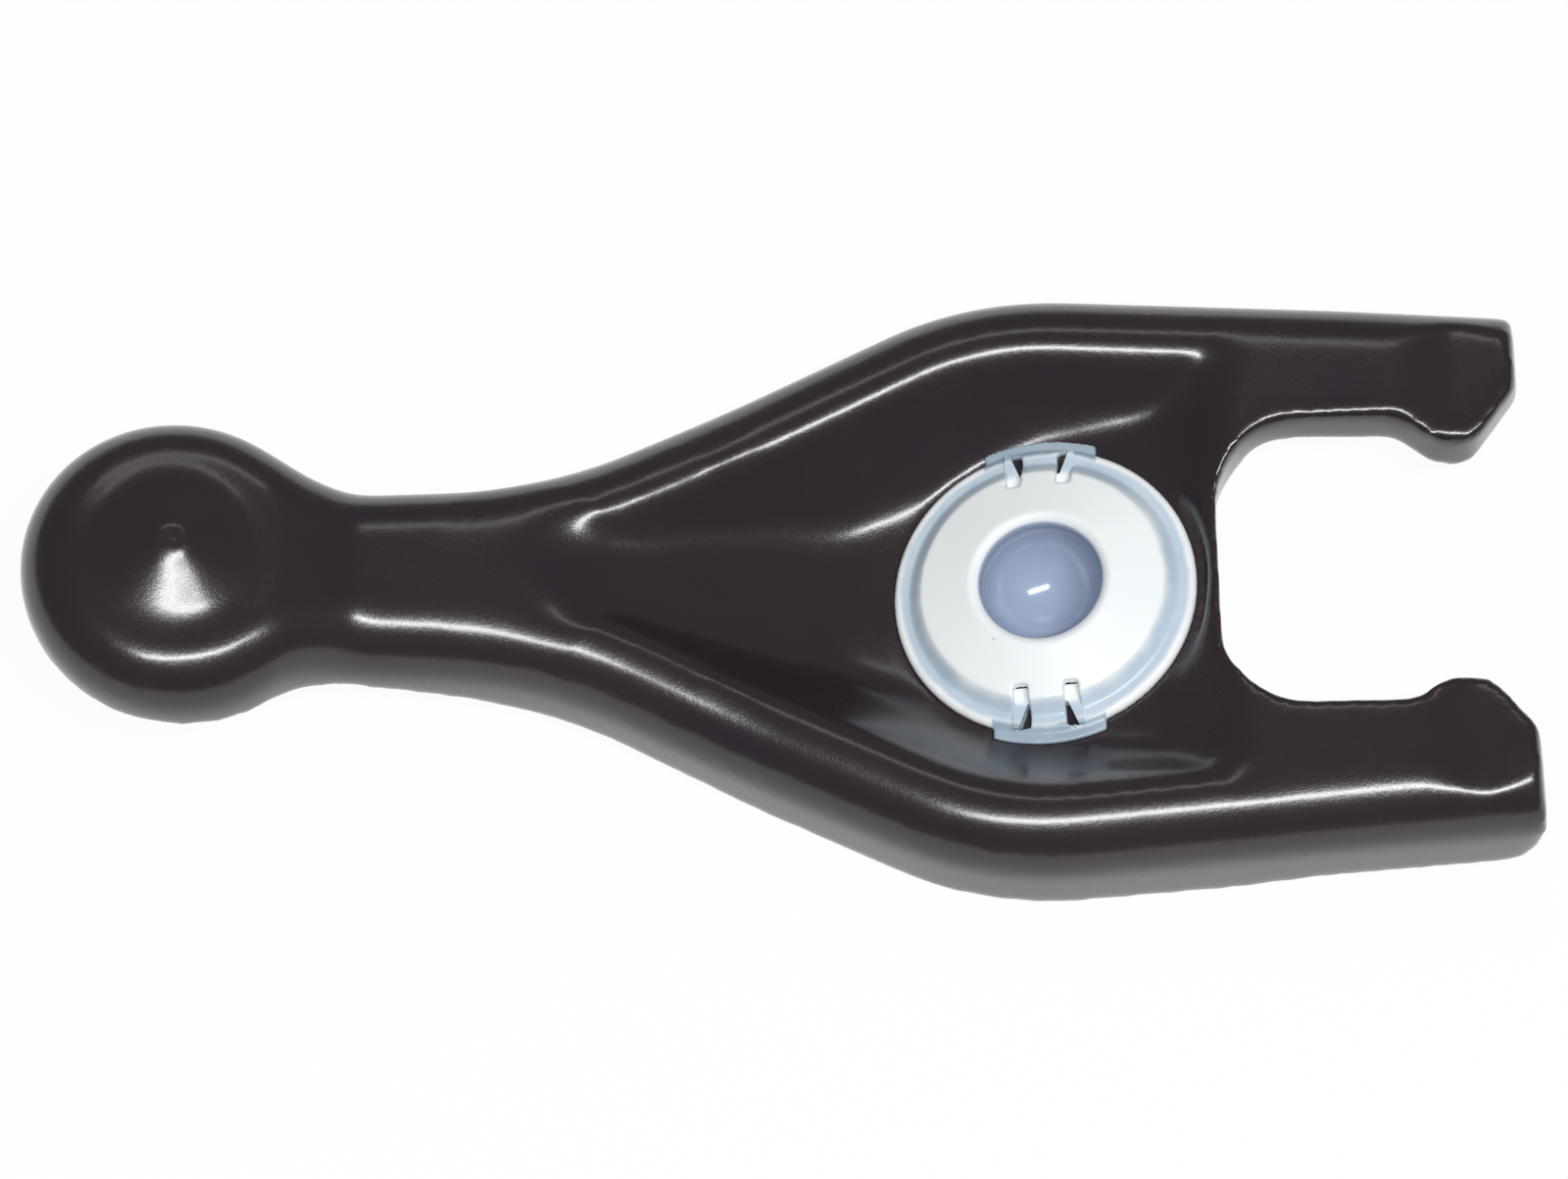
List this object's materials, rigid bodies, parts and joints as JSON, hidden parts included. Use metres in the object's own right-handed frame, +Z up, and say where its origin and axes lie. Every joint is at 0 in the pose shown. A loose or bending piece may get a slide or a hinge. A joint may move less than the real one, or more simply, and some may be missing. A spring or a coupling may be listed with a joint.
{
  "type": "clutch fork",
  "caption": "Forged clutch release lever with a domed push-rod end, a nylon ball cup on a recessed pad and a hooked fork for the release bearing.",
  "frame": {"origin": "centre of the pivot ball that snaps into the cup", "axes": "+X along the lever from the domed head to the prongs, +Z up from the surface it lies on, towards the ball stud's side"},
  "size_m": [0.1989, 0.0826, 0.0322],
  "materials": {
    "black_coating": "satin black coating over forged steel",
    "natural_nylon": "moulded natural nylon, slightly translucent"
  },
  "bodies": {
    "root": {"fork_lever": "black_coating", "ball_cup": "natural_nylon"}
  },
  "joints": []
}
